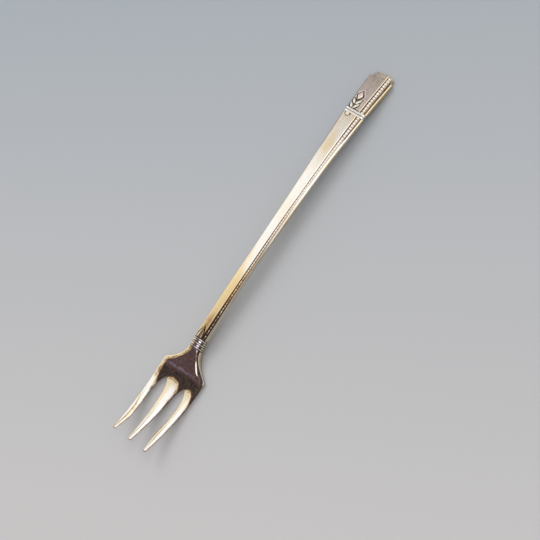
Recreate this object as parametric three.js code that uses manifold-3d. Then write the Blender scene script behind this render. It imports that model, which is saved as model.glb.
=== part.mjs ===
// A three-tined cocktail fork lying face up on a table, all sizes in millimetres.
// X runs across the fork, Y from the tine tips to the end of the handle, Z up from the table.
import * as THREE from "three";
import { mergeVertices } from "three/addons/utils/BufferGeometryUtils.js";
import Module from "manifold-3d";

const wasm = await Module();
wasm.setup();

// Lengths along the fork, from the tine tips to the end of the handle.
const TINE_LENGTH = 24.2;
const PALM_LENGTH = 13.4;
const COLLAR_LENGTH = 4.2;
const STEM_LENGTH = 92.7;
const BAND_LENGTH = 1.8;
const END_LENGTH = 16.1;

// Heights of the face above the table.
const TINE_TIP_HEIGHT = 7.2;
const NECK_HEIGHT = 5;
const CREST_HEIGHT = 6.1;
const CREST_FROM_COLLAR = 33;
const UPPER_HEIGHT = 5.5;
const UPPER_FROM_BAND = 24;
const BAND_HEIGHT = 4;

// Thickness of the metal, the level start of the palm's face, and the two flats the fork rests on.
const TINE_TIP_THICKNESS = 1.1;
const PALM_THICKNESS = 1.9;
const NECK_THICKNESS = 2.8;
const STEM_THICKNESS = 2.4;
const BAND_THICKNESS = 1.95;
const END_THICKNESS = 1.45;
const FACE_FLAT = 3;
const HEEL_FLAT = 10;
const END_FLAT = 4;

// Widths of the head.
const TIP_SPREAD = 15.2;
const HEAD_WIDTH = 18.2;
const TINE_TIP_WIDTH = 0.9;
const OUTER_TINE_WIDTH = 2.4;
const CENTRE_TIP_WIDTH = 1.1;
const CENTRE_TINE_WIDTH = 4.9;
const INNER_CUT_LENGTH = 6.5;
const TIP_ROUND = 0.5;
const ROOT_ARCH_LENGTH = 7.4;
const ROOT_ARCH_POWER = 0.6;
const ROOT_FLAT = 0.4;
const SHOULDER_BACK = 4.6;
const SHOULDER_ROUND = 1.2;
const SHOULDER_DROP = 0.45;
const FLARE_POWER = 1.9;
const PALM_BACK_WIDTH = 5.2;
const HEAD_BOW = 1.6;

// Widths of the handle.
const NECK_WIDTH = 4.7;
const STEM_WIDTH = 4.4;
const UPPER_WIDTH = 5.6;
const BAND_WIDTH = 7.8;
const END_WIDTH = 9.4;
const LEFT_STEP_WIDTH = 1.25;
const RIGHT_STEP_WIDTH = 0.65;
const STEP_LENGTH = 1.95;
const FACE_EDGE = 0.35;
const PALM_UNDER_EDGE = 0.6;
const NECK_UNDER_EDGE = 0.6;
const STEM_UNDER_EDGE = 1.2;
const BAND_UNDER_EDGE = 0.9;
const END_UNDER_EDGE = 0.5;

// The sunk channel along the right edge, and the line of beads in it.
const STEM_RAIL_WIDTH = 0.2;
const UPPER_RAIL_WIDTH = 0.45;
const END_RAIL_WIDTH = 0.6;
const RAIL_DROP = 0.06;
const NECK_CHANNEL_WIDTH = 1.6;
const STEM_CHANNEL_WIDTH = 1.2;
const UPPER_CHANNEL_WIDTH = 1.3;
const BAND_CHANNEL_WIDTH = 1.95;
const CHANNEL_DEPTH = 0.5;
const CHANNEL_STOP_DEPTH = 0.12;
const CHANNEL_STOP_BACK = 0.3;
const NECK_BEAD_WIDTH = 0.8;
const STEM_BEAD_WIDTH = 0.65;
const BAND_BEAD_WIDTH = 1.1;
const BEAD_PITCH = 1.1;
const BEAD_HEIGHT = 0.45;
const BEAD_WAIST = 0.6;
const BEAD_MARGIN = 0.25;

// Raised ornament.
const COLLAR_RINGS = 3;
const BAND_RINGS = 2;
const RING_GAP = 0.25;
const RING_HEIGHT = 0.3;
const RING_SIDE = 0.15;
const NECK_LEAF_LENGTH = 3.9;
const NECK_LEAF_WIDTH = 2.2;
const BUD_RADIUS = 0.8;
const SPRIG_X = -2.1;
const SPRIG_BUD_LENGTH = 3.4;
const SPRIG_BUD_WIDTH = 2.2;
const SPRIG_BUD_START = 3.7;
const LEAF_LENGTH = 2.1;
const LEAF_WIDTH = 1;
const LEAF_ANGLE = THREE.MathUtils.degToRad(42);
const LOWER_LEAF_START = 0.3;
const UPPER_LEAF_START = 1.9;
const LEAF_SIDE_GAP = 0.5;
const RELIEF_HEIGHT = 0.35;
const SEAT_GAP = 0.04;

// Places along the fork, measured from the tine tips.
const PALM_START = TINE_LENGTH;
const COLLAR_START = PALM_START + PALM_LENGTH;
const STEM_START = COLLAR_START + COLLAR_LENGTH;
const BAND_START = STEM_START + STEM_LENGTH;
const END_START = BAND_START + BAND_LENGTH;
const FORK_LENGTH = END_START + END_LENGTH;
const CREST = STEM_START + CREST_FROM_COLLAR;
const UPPER = BAND_START - UPPER_FROM_BAND;
const CHANNEL_STOP = FORK_LENGTH - STEP_LENGTH - CHANNEL_STOP_BACK;
const placeY = (s) => s - FORK_LENGTH / 2;

const mix = (from, to, share) => from + (to - from) * share;

// A smooth curve through [place, value] stops, level between equal values.
function through(stops) {
  const slopes = stops.slice(1).map(([place, value], i) => (value - stops[i][1]) / (place - stops[i][0]));
  const tangents = stops.map((stop, i) => {
    const before = slopes[Math.max(i - 1, 0)];
    const after = slopes[Math.min(i, slopes.length - 1)];
    return before * after > 0 ? (2 * before * after) / (before + after) : 0;
  });
  return (place) => {
    const last = stops.length - 2;
    const after = stops.findIndex(([stop]) => place < stop);
    const i = after < 0 ? last : THREE.MathUtils.clamp(after - 1, 0, last);
    const span = stops[i + 1][0] - stops[i][0];
    const u = (place - stops[i][0]) / span;
    const bend = u * u * (3 - 2 * u);
    const lead = u * (1 - u) * (1 - u) * span * tangents[i];
    const trail = u * u * (u - 1) * span * tangents[i + 1];
    return mix(stops[i][1], stops[i + 1][1], bend) + lead + trail;
  };
}

// Side profile: the face and the underside. The tines curl up from the heel as a parabola.
const handleTop = through([
  [PALM_START, PALM_THICKNESS],
  [PALM_START + FACE_FLAT, PALM_THICKNESS],
  [STEM_START, NECK_HEIGHT],
  [CREST, CREST_HEIGHT],
  [UPPER, UPPER_HEIGHT],
  [BAND_START, BAND_HEIGHT],
  [FORK_LENGTH, END_THICKNESS],
]);
const handleBottom = through([
  [PALM_START, 0],
  [PALM_START + HEEL_FLAT, 0],
  [STEM_START, NECK_HEIGHT - NECK_THICKNESS],
  [CREST, CREST_HEIGHT - STEM_THICKNESS],
  [BAND_START, BAND_HEIGHT - BAND_THICKNESS],
  [FORK_LENGTH - END_FLAT, 0],
  [FORK_LENGTH, 0],
]);
const curl = (s) => Math.max(TINE_LENGTH - s, 0) / TINE_LENGTH;
const tineTop = (s) => mix(PALM_THICKNESS, TINE_TIP_HEIGHT, curl(s) ** 2);
const tineThickness = (s) => mix(PALM_THICKNESS, TINE_TIP_THICKNESS, curl(s));

// Plan of the head: outer edges, tine edges and the arched slot roots.
const headShare = (s) => 1 - (1 - s / (TINE_LENGTH + SHOULDER_BACK)) ** HEAD_BOW;
const headEdge = (s) => mix(TIP_SPREAD, HEAD_WIDTH, headShare(s)) / 2;
const plainCentreEdge = (s) => mix(CENTRE_TIP_WIDTH, CENTRE_TINE_WIDTH, s / TINE_LENGTH) / 2;
const outerTineWidth = (s) => mix(TINE_TIP_WIDTH, OUTER_TINE_WIDTH, Math.min(s / INNER_CUT_LENGTH, 1));
const plainInnerEdge = (s) => headEdge(s) - outerTineWidth(s);
const ARCH_START = TINE_LENGTH - ROOT_ARCH_LENGTH;
const inSlot = (s) => Math.min(s, ARCH_START);
const slotCentre = (s) => (plainCentreEdge(inSlot(s)) + plainInnerEdge(inSlot(s))) / 2;
function slotHalf(s) {
  const plain = (plainInnerEdge(inSlot(s)) - plainCentreEdge(inSlot(s))) / 2;
  const u = THREE.MathUtils.clamp((s - ARCH_START) / ROOT_ARCH_LENGTH, 0, 1);
  return Math.max(plain * (1 - u * u) ** ROOT_ARCH_POWER, ROOT_FLAT / 2);
}
const centreEdge = (s) => slotCentre(s) - slotHalf(s);
const innerEdge = (s) => slotCentre(s) + slotHalf(s);
function palmEdge(s) {
  const back = s - PALM_START - SHOULDER_BACK;
  const shoulder = HEAD_WIDTH / 2 - SHOULDER_DROP;
  if (back < 0) {
    return headEdge(s);
  }
  if (back < SHOULDER_ROUND) {
    return HEAD_WIDTH / 2 - SHOULDER_DROP * (back / SHOULDER_ROUND) ** 2;
  }
  const flare = (back - SHOULDER_ROUND) / (PALM_LENGTH - SHOULDER_BACK - SHOULDER_ROUND);
  return mix(PALM_BACK_WIDTH / 2, shoulder, (1 - Math.min(flare, 1)) ** FLARE_POWER);
}

// Plan of the handle: outer edge, rail, channel and beads.
const handleEdge = through([
  [COLLAR_START, NECK_WIDTH / 2],
  [STEM_START, NECK_WIDTH / 2],
  [CREST, STEM_WIDTH / 2],
  [UPPER, UPPER_WIDTH / 2],
  [BAND_START, BAND_WIDTH / 2],
  [FORK_LENGTH, END_WIDTH / 2],
]);
const railWidth = through([
  [STEM_START, STEM_RAIL_WIDTH],
  [CREST, STEM_RAIL_WIDTH],
  [UPPER, UPPER_RAIL_WIDTH],
  [FORK_LENGTH, END_RAIL_WIDTH],
]);
const channelWidth = through([
  [STEM_START, NECK_CHANNEL_WIDTH],
  [CREST, STEM_CHANNEL_WIDTH],
  [UPPER, UPPER_CHANNEL_WIDTH],
  [BAND_START, BAND_CHANNEL_WIDTH],
  [FORK_LENGTH, BAND_CHANNEL_WIDTH],
]);
const beadWidth = through([
  [STEM_START, NECK_BEAD_WIDTH],
  [CREST, STEM_BEAD_WIDTH],
  [BAND_START, BAND_BEAD_WIDTH],
  [FORK_LENGTH, BAND_BEAD_WIDTH],
]);
const underEdge = through([
  [PALM_START, PALM_UNDER_EDGE],
  [PALM_START + SHOULDER_BACK, PALM_UNDER_EDGE],
  [COLLAR_START, NECK_UNDER_EDGE],
  [CREST, STEM_UNDER_EDGE],
  [BAND_START, BAND_UNDER_EDGE],
  [FORK_LENGTH - END_FLAT, END_UNDER_EDGE],
  [FORK_LENGTH, END_UNDER_EDGE],
]);
const channelOuter = (s) => handleEdge(s) - railWidth(s);
const channelInner = (s) => channelOuter(s) - channelWidth(s);

// A closed solid through sections of [x, z] points at places along the fork, with flat ends.
function loft(sections) {
  const count = sections[0].points.length;
  const positions = [];
  const index = [];
  for (const { y, points } of sections) {
    for (const [x, z] of points) {
      positions.push(x, y, z);
    }
  }
  for (let i = 0; i < sections.length - 1; i++) {
    for (let j = 0; j < count; j++) {
      const a = i * count + j;
      const b = i * count + ((j + 1) % count);
      index.push(a, b + count, b, a, a + count, b + count);
    }
  }
  const back = (sections.length - 1) * count;
  const outline = (section) => section.points.map(([x, z]) => new THREE.Vector2(x, z));
  for (const [a, b, c] of THREE.ShapeUtils.triangulateShape(outline(sections[0]), [])) {
    index.push(a, b, c);
  }
  for (const [a, b, c] of THREE.ShapeUtils.triangulateShape(outline(sections.at(-1)), [])) {
    index.push(back + a, back + c, back + b);
  }
  const geometry = new THREE.BufferGeometry();
  geometry.setAttribute("position", new THREE.Float32BufferAttribute(positions, 3));
  geometry.setIndex(index);
  return geometry;
}

const stations = (from, to, steps) => Array.from({ length: steps + 1 }, (_, i) => mix(from, to, i / steps));
const loftAlong = (places, section) => loft(places.map((s) => ({ y: placeY(s), points: section(s) })));

function toManifold(geometry) {
  const vertProperties = geometry.getAttribute("position").array;
  const triVerts = new Uint32Array(geometry.index.array);
  return new wasm.Manifold(new wasm.Mesh({ numProp: 3, vertProperties, triVerts }));
}

function toGeometry(manifold) {
  const mesh = manifold.getMesh();
  const geometry = new THREE.BufferGeometry();
  geometry.setAttribute("position", new THREE.Float32BufferAttribute(mesh.vertProperties, 3));
  geometry.setIndex(Array.from(mesh.triVerts));
  return geometry;
}

// A tine: domed face, straight sides, eased underside, rounded tip.
function tineSection(s, left, right) {
  const lead = Math.min(s / TIP_ROUND, 1);
  const round = Math.max(Math.sqrt(1 - (1 - lead) ** 2), 0.4);
  const thickness = tineThickness(s) * round;
  const middle = (left + right) / 2;
  const half = ((right - left) / 2) * round;
  const top = tineTop(s) - (tineThickness(s) - thickness) / 2;
  const bottom = top - thickness;
  const edge = Math.min(FACE_EDGE, half * 0.5, thickness * 0.4);
  const shoulder = top - edge * 0.25;
  return [
    [middle - half + edge, bottom],
    [middle + half - edge, bottom],
    [middle + half, bottom + edge],
    [middle + half, top - edge],
    [middle + half - edge, shoulder],
    [middle, top],
    [middle - half + edge, shoulder],
    [middle - half, top - edge],
    [middle - half, bottom + edge],
  ];
}
const tinePlaces = [
  ...[0, 0.12, 0.45, 1].map((share) => share * TIP_ROUND),
  ...stations(TIP_ROUND, INNER_CUT_LENGTH, 3).slice(1),
  ...stations(INNER_CUT_LENGTH, ARCH_START, 3).slice(1),
  ...[0.3, 0.55, 0.75, 0.9, 0.97, 1].map((share) => mix(ARCH_START, TINE_LENGTH, share)),
];
const leftTine = loftAlong(tinePlaces, (s) => tineSection(s, -headEdge(s), -innerEdge(s)));
const centreTine = loftAlong(tinePlaces, (s) => tineSection(s, -centreEdge(s), centreEdge(s)));
const rightTine = loftAlong(tinePlaces, (s) => tineSection(s, innerEdge(s), headEdge(s)));

// A plain bar section with eased edges, used by the palm, the collar and the cross band.
function barSection(s, half, top) {
  const bottom = handleBottom(s);
  const under = underEdge(s);
  return [
    [-half + under, bottom],
    [half - under, bottom],
    [half, bottom + under],
    [half, top - FACE_EDGE],
    [half - FACE_EDGE, top],
    [-half + FACE_EDGE, top],
    [-half, top - FACE_EDGE],
    [-half, bottom + under],
  ];
}
const flareStart = PALM_START + SHOULDER_BACK + SHOULDER_ROUND;
const palmPlaces = [
  PALM_START,
  PALM_START + FACE_FLAT,
  ...stations(PALM_START + SHOULDER_BACK, flareStart, 3),
  ...stations(flareStart, COLLAR_START, 8).slice(1),
];
const palm = loftAlong(palmPlaces, (s) => barSection(s, palmEdge(s), handleTop(s)));

// A length of bar with raised rings across its face and down its sides.
function ringedBar(start, length, rings) {
  const width = (length - RING_GAP * (rings - 1)) / rings;
  const shape = [0, 0.75, 1, 0.75, 0];
  const sections = [];
  for (let ring = 0; ring < rings; ring++) {
    shape.forEach((rise, i) => {
      const s = start + ring * (width + RING_GAP) + (width * i) / (shape.length - 1);
      const half = handleEdge(s) + RING_SIDE * rise;
      sections.push({ y: placeY(s), points: barSection(s, half, handleTop(s) + RING_HEIGHT * rise) });
    });
  }
  return loft(sections);
}
const neckCollar = ringedBar(COLLAR_START, COLLAR_LENGTH, COLLAR_RINGS);
const crossBand = ringedBar(BAND_START, BAND_LENGTH, BAND_RINGS);

// The handle section: flat panel on the left, sunk channel, narrow rail on the right.
function handleSection(s, depth) {
  const half = handleEdge(s);
  const top = handleTop(s);
  const bottom = handleBottom(s);
  const rail = top - RAIL_DROP;
  const under = underEdge(s);
  return [
    [-half + under, bottom],
    [half - under, bottom],
    [half, bottom + under],
    [half, rail - FACE_EDGE],
    [half - railWidth(s) / 2, rail],
    [channelOuter(s), rail],
    [channelOuter(s), top - depth],
    [channelInner(s), top - depth],
    [channelInner(s), top],
    [-half + FACE_EDGE, top],
    [-half, top - FACE_EDGE],
    [-half, bottom + under],
  ];
}
const stem = loftAlong(stations(STEM_START, BAND_START, 26), (s) => handleSection(s, CHANNEL_DEPTH));

// The handle end: its channel stops short of the end, and its two corners are stepped.
const endPlaces = [
  ...stations(END_START, FORK_LENGTH - END_FLAT, 5),
  CHANNEL_STOP,
  CHANNEL_STOP + CHANNEL_STOP_BACK / 2,
  FORK_LENGTH,
];
const endDepth = (s) => (s > CHANNEL_STOP ? CHANNEL_STOP_DEPTH : CHANNEL_DEPTH);
const plainEnd = toManifold(loftAlong(endPlaces, (s) => handleSection(s, endDepth(s))));
function cornerCutter(side, width) {
  const block = new THREE.BoxGeometry(END_WIDTH, 2 * STEP_LENGTH, 4 * END_THICKNESS);
  block.deleteAttribute("normal");
  block.deleteAttribute("uv");
  block.translate(side * (END_WIDTH - width), placeY(FORK_LENGTH), END_THICKNESS);
  return toManifold(mergeVertices(block));
}
const stepped = plainEnd
  .subtract(cornerCutter(-1, LEFT_STEP_WIDTH))
  .subtract(cornerCutter(1, RIGHT_STEP_WIDTH));
const handleEnd = toGeometry(stepped);

// A line of beads: half-round beads joined by narrower, lower waists, lying in the channel.
function beadLine(from, to) {
  const count = Math.max(Math.round((to - from) / BEAD_PITCH), 1);
  const pitch = (to - from) / count;
  const places = [{ s: from, swell: BEAD_WAIST }];
  for (let bead = 0; bead < count; bead++) {
    const start = from + bead * pitch;
    places.push({ s: start + pitch * 0.28, swell: 1 });
    places.push({ s: start + pitch * 0.72, swell: 1 });
    places.push({ s: start + pitch, swell: BEAD_WAIST });
  }
  return loft(
    places.map(({ s, swell }) => {
      const middle = (channelInner(s) + channelOuter(s)) / 2;
      const half = (beadWidth(s) / 2) * swell;
      const base = handleTop(s) - CHANNEL_DEPTH + SEAT_GAP;
      const height = BEAD_HEIGHT * swell;
      const points = [
        [middle - half, base],
        [middle + half, base],
        [middle + half * 0.85, base + height * 0.6],
        [middle, base + height],
        [middle - half * 0.85, base + height * 0.6],
      ];
      return { y: placeY(s), points };
    }),
  );
}
const stemBeads = beadLine(STEM_START + BEAD_MARGIN, BAND_START - BEAD_MARGIN);
const endBeads = beadLine(END_START + BEAD_MARGIN, CHANNEL_STOP - BEAD_MARGIN);

// A raised leaf lying along +Y from its foot, ridged along the middle.
function leaf(length, widthAt) {
  return loft(
    [0, 0.12, 0.3, 0.5, 0.7, 0.88, 1].map((share) => {
      const half = widthAt(share) / 2;
      const height = RELIEF_HEIGHT * Math.max(Math.sin(Math.PI * mix(0.12, 0.88, share)), 0.3);
      const points = [
        [-half, 0],
        [half, 0],
        [half * 0.35, height],
        [-half * 0.35, height],
      ];
      return { y: share * length, points };
    }),
  );
}
const pointed = (width) => (share) => width * Math.max(Math.sin(Math.PI * share) ** 0.8, 0.12);
const lancet = (width) => (share) => width * Math.max(1 - share ** 2, 0.12);

// A small round dome with a flat base.
function dome(radius, height) {
  const profile = [
    [0, 0],
    [radius, 0],
    [radius * 0.85, height * 0.6],
    [radius * 0.45, height * 0.93],
    [0, height],
  ];
  const geometry = new THREE.LatheGeometry(profile.map(([r, h]) => new THREE.Vector2(r, h)), 12);
  geometry.rotateX(Math.PI / 2);
  return geometry;
}

const fork = new THREE.Group();
fork.name = "cocktail_fork";

const SILVER = 0xd3cdc2;
const TONED_SILVER = 0xc6b48c;
const DARK_SILVER = 0x6f6261;

function addPart(name, geometry, colour, roughness) {
  const material = new THREE.MeshStandardMaterial({ color: colour, roughness, metalness: 1 });
  const mesh = new THREE.Mesh(geometry, material);
  mesh.name = name;
  fork.add(mesh);
  return mesh;
}

// Seats a raised piece on the face at a place along the fork, turned in the plane of the face.
function seat(mesh, x, s, turn) {
  const slope = handleTop(s + 0.5) - handleTop(s - 0.5);
  mesh.position.set(x, placeY(s), handleTop(s) + SEAT_GAP);
  mesh.rotation.set(Math.atan(slope), 0, turn);
}

addPart("left_tine", leftTine, SILVER, 0.2);
addPart("centre_tine", centreTine, SILVER, 0.2);
addPart("right_tine", rightTine, SILVER, 0.2);
addPart("palm", palm, DARK_SILVER, 0.28);
addPart("neck_collar", neckCollar, DARK_SILVER, 0.28);
addPart("stem", stem, TONED_SILVER, 0.24);
addPart("cross_band", crossBand, SILVER, 0.24);
addPart("handle_end", handleEnd, SILVER, 0.24);
addPart("stem_beads", stemBeads, TONED_SILVER, 0.24);
addPart("end_beads", endBeads, SILVER, 0.24);

const panelCentre = (s) => (channelInner(s) - handleEdge(s)) / 2;
const neckLeafFoot = STEM_START + SEAT_GAP;
const neckLeaf = addPart("neck_leaf", leaf(NECK_LEAF_LENGTH, lancet(NECK_LEAF_WIDTH)), TONED_SILVER, 0.24);
seat(neckLeaf, panelCentre(neckLeafFoot), neckLeafFoot, 0);

const bandBud = addPart("band_bud", dome(BUD_RADIUS, RELIEF_HEIGHT), SILVER, 0.24);
seat(bandBud, SPRIG_X, BAND_START - BUD_RADIUS - SEAT_GAP, 0);

const sprigBud = addPart("sprig_bud", leaf(SPRIG_BUD_LENGTH, pointed(SPRIG_BUD_WIDTH)), SILVER, 0.24);
seat(sprigBud, SPRIG_X, END_START + SPRIG_BUD_START, 0);

for (const [level, start] of [["lower", LOWER_LEAF_START], ["upper", UPPER_LEAF_START]]) {
  for (const [side, sign] of [["left", -1], ["right", 1]]) {
    const mesh = addPart(`sprig_${level}_${side}_leaf`, leaf(LEAF_LENGTH, pointed(LEAF_WIDTH)), SILVER, 0.24);
    seat(mesh, SPRIG_X + (sign * LEAF_SIDE_GAP) / 2, END_START + start, -sign * LEAF_ANGLE);
  }
}

export default fork;
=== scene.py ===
from math import copysign, cos, exp, hypot, pi, radians, sin, sqrt

import bmesh
import bpy
from mathutils import Matrix, Vector


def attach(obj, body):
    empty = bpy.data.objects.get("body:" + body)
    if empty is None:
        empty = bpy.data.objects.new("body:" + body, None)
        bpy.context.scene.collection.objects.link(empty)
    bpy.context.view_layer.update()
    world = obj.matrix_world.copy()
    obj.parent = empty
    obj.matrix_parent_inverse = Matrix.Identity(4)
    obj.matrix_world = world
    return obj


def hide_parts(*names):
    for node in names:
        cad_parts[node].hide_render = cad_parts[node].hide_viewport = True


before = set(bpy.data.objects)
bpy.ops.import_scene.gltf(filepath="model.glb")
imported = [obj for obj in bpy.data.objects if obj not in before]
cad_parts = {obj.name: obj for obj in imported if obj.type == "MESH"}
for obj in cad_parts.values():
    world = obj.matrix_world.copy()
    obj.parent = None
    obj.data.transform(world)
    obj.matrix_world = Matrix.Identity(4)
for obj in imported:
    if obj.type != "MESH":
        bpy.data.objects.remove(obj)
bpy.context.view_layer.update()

# ---- Palm ----
# The broad flat of the head between the tines and the neck, struck with the whole fork from one plated blank.
# Its face is nearly black with old tarnish. Bevels run down to the shoulders, and the left one is rubbed bright.
# A bare line along the right bevel's ridge is a painted highlight, a lilac band across the bend is a painted
# reflection, and the right bevel's outer part is kept olive-black as a painted dark reflection.
# Lengths are in millimetres, and s is the distance from the tine tips along the fork.
FORK_LENGTH, TINE_LENGTH = 152.4, 24.2
PALM_START, COLLAR_START, STEM_START, BAND_START, END_START = TINE_LENGTH, 37.6, 41.8, 134.5, 136.3
FACE_RISE, HEEL_END, CREST, UPPER, REST_START = 27.2, 34.2, 74.8, 110.5, FORK_LENGTH - 4
PALM_THICKNESS, TIP_SPREAD, HEAD_WIDTH, HEAD_BOW = 1.9, 15.2, 18.2, 1.6
SHOULDER_BACK, SHOULDER_ROUND, SHOULDER_DROP = 4.6, 1.2, 0.45
PALM_BACK_WIDTH, FLARE_POWER = 5.2, 1.9
EDGE_EASE, RIDGE_ROUND, SHARP_ANGLE = 0.22, 0.22, radians(38)
TIP_WIDTH, OUTER_WIDTH, INNER_CUT_LENGTH, CENTRE_TIP_WIDTH, CENTRE_WIDTH = 0.9, 2.4, 6.5, 1.1, 4.9


def mix(a, b, share):
    return a + (b - a) * share


def ramp(place, low, high):
    """0 before low, 1 after high, and a smooth rise between."""
    u = min(max((place - low) / (high - low), 0.0), 1.0)
    return u * u * (3 - 2 * u)


def fade(place, low, high):
    return 1 - ramp(place, low, high)


def between(place, low, full, high, gone):
    """0 before low, 1 from full to high, and 0 again after gone."""
    return ramp(place, low, full) * fade(place, high, gone)


def bump_at(place, middle, width):
    return exp(-(((place - middle) / width) ** 2))


def through(*stops):
    """A smooth curve through (place, value) stops, level between equal values."""
    slopes = [(b[1] - a[1]) / (b[0] - a[0]) for a, b in zip(stops, stops[1:])]
    tangents = []
    for i in range(len(stops)):
        before, after = slopes[max(i - 1, 0)], slopes[min(i, len(slopes) - 1)]
        tangents.append(2 * before * after / (before + after) if before * after > 0 else 0.0)

    def value(place):
        i = 0
        while i < len(stops) - 2 and place >= stops[i + 1][0]:
            i += 1
        (low, start), (high, end) = stops[i : i + 2]
        span, u = high - low, (place - low) / (high - low)
        bend = mix(start, end, u * u * (3 - 2 * u))
        return bend + u * (1 - u) ** 2 * span * tangents[i] + u * u * (u - 1) * span * tangents[i + 1]

    return value


def even(start, end, count):
    return [mix(start, end, i / count) for i in range(count + 1)]


def places(start, end, step):
    return even(start, end, max(round((end - start) / step), 1))


handle_top = through(
    (PALM_START, PALM_THICKNESS), (FACE_RISE, PALM_THICKNESS), (STEM_START, 5.0), (CREST, 6.1), (UPPER, 5.5),
    (BAND_START, 4.0), (FORK_LENGTH, 1.45),
)
handle_bottom = through(
    (PALM_START, 0.0), (HEEL_END, 0.0), (STEM_START, 2.2), (CREST, 3.7), (BAND_START, 2.05), (REST_START, 0.0),
    (FORK_LENGTH, 0.0),
)
under_edge = through(
    (PALM_START, 0.6), (COLLAR_START, 0.6), (CREST, 1.2), (BAND_START, 0.9), (REST_START, 0.5), (FORK_LENGTH, 0.5)
)
bevel_width = through(
    (PALM_START, 1.5), (28.8, 1.9), (30.6, 2.75), (32.5, 1.9), (34.7, 1.25), (36, 1.35), (COLLAR_START, 1.6)
)
bevel_depth = through((PALM_START, 0.4), (28.8, 0.45), (31, 0.6), (34, 0.55), (COLLAR_START, 0.3))


def head_edge(s):
    share = 1 - (1 - min(s / (TINE_LENGTH + SHOULDER_BACK), 1.0)) ** HEAD_BOW
    return mix(TIP_SPREAD, HEAD_WIDTH, share) / 2


def palm_edge(s):
    back = s - PALM_START - SHOULDER_BACK
    if back < 0:
        return head_edge(s)
    if back < SHOULDER_ROUND:
        return HEAD_WIDTH / 2 - SHOULDER_DROP * (back / SHOULDER_ROUND) ** 2
    flare = (back - SHOULDER_ROUND) / (COLLAR_START - PALM_START - SHOULDER_BACK - SHOULDER_ROUND)
    return mix(PALM_BACK_WIDTH / 2, HEAD_WIDTH / 2 - SHOULDER_DROP, (1 - min(flare, 1.0)) ** FLARE_POWER)


def centre_width(s):
    return mix(CENTRE_TIP_WIDTH, CENTRE_WIDTH, s / TINE_LENGTH)


def outer_width(s):
    return mix(TIP_WIDTH, OUTER_WIDTH, min(s / INNER_CUT_LENGTH, 1.0))


def bevel(share):
    """How far down a bevel has come: 0 at its inner ridge, 1 at its outer edge, with the ridge rounded over."""
    if share <= 0:
        return 0.0
    return (hypot(share, RIDGE_ROUND) - RIDGE_ROUND) / (hypot(1.0, RIDGE_ROUND) - RIDGE_ROUND)


def finish_ring(face, left, right, bottom, under, left_ease, right_ease):
    """Closes a cross-section: to its face, left to right, come eased edges, sides and a rounded underside."""
    ring = list(face)
    left_low, right_low = face[0][1] - left_ease, face[-1][1] - right_ease

    def arc(x, z, radius, angles, part):
        for turn in map(radians, angles):
            ring.append((x + radius * cos(turn), z + radius * sin(turn), part))

    arc(right - right_ease, right_low, right_ease, (60, 30, 0), "edge")
    ring.append((right, mix(right_low, bottom + under, 0.5), "side"))
    arc(right - under, bottom + under, under, (0, -22.5, -45, -67.5, -90), "under")
    ring.extend((mix(right - under, left + under, i / 6), bottom, "under") for i in range(1, 6))
    arc(left + under, bottom + under, under, (270, 247.5, 225, 202.5, 180), "under")
    ring.append((left, mix(bottom + under, left_low, 0.5), "side"))
    arc(left + left_ease, left_low, left_ease, (180, 150, 120), "edge")
    return ring


def at(x, s, z):
    """A place on the fork as a point of the shared frame, in metres."""
    return x / 1000, (s - FORK_LENGTH / 2) / 1000, z / 1000


def place_of(y):
    return y * 1000 + FORK_LENGTH / 2


scene = bpy.context.scene


def made_piece(name, points, faces, marks, finish=None, labels=("tarnish", "toning", "tint_and_sheen"), edges=()):
    """A piece with a row of marks on each of its points, kept under these labels."""
    mesh = bpy.data.meshes.new(name)
    mesh.from_pydata(points, edges, faces, shade_flat=False)
    for label, values in zip(labels, zip(*marks)):
        mesh.attributes.new(label, "FLOAT", "POINT").data.foreach_set("value", values)
    work = bmesh.new()
    work.from_mesh(mesh)
    bmesh.ops.triangulate(work, faces=[f for f in work.faces if len(f.verts) > 4])
    work.to_mesh(mesh)
    work.free()
    mesh.set_sharp_from_angle(angle=SHARP_ANGLE)
    if finish:
        mesh.materials.append(finish)
    piece = bpy.data.objects.new(name, mesh)
    scene.collection.objects.link(piece)
    return piece


def struck_piece(name, sections, stain, finish=None):
    """A closed piece through sections of (s, ring). stain(s, x, z, part) gives its tarnish, toning and sheen."""
    count = len(sections[0][1])
    points, marks, faces = [], [], []
    for s, ring in sections:
        for x, z, part in ring:
            points.append(at(x, s, z))
            marks.append(stain(s, x, z, part))
    last = len(points) - count
    for row in range(0, last, count):
        for j in range(count):
            k = (j + 1) % count
            faces.append((row + j, row + k, row + count + k, row + count + j))
    faces += [tuple(reversed(range(count))), tuple(range(last, last + count))]
    return made_piece(name, points, faces, marks, finish)


SIGNS = {"+": "ADD", "-": "SUBTRACT", "*": "MULTIPLY", "/": "DIVIDE", "*+": "MULTIPLY_ADD"}


def nodes_in(tree):
    """Makers of nodes for a tree. node() takes a kind, its inputs in order and settings, and gives its first output."""

    def node(kind, *values, **settings):
        made = tree.nodes.new(kind if "Node" in kind else tree.bl_idname[: -len("Tree")] + kind)
        for key, value in settings.items():
            setattr(made, key, value)
        for socket, value in zip([i for i in made.inputs if i.enabled], values):
            if hasattr(value, "is_output"):
                tree.links.new(value, socket)
            elif value is not None:
                socket.default_value = value
        return made.outputs[0]

    def sums(sign, *values):
        return node("ShaderNodeMath", *values, operation=SIGNS.get(sign, sign))

    def spread(value, low, high, to_low=0.0, to_high=1.0):
        return node("ShaderNodeMapRange", value, low, high, to_low, to_high, interpolation_type="SMOOTHSTEP")

    def blend(share, *colours, kind="MIX"):
        colours = [(*colour, 1) if isinstance(colour, tuple) else colour for colour in colours]
        return node("ShaderNodeMix", share, *colours, data_type="RGBA", blend_type=kind).node.outputs[2]

    return node, sums, spread, blend


SILVER, GOLDEN = (0.86, 0.82, 0.76), (0.76, 0.6, 0.34)
SCRATCH_STRENGTH, SCRATCH_DEPTH = 0.1, 0.00002


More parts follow.
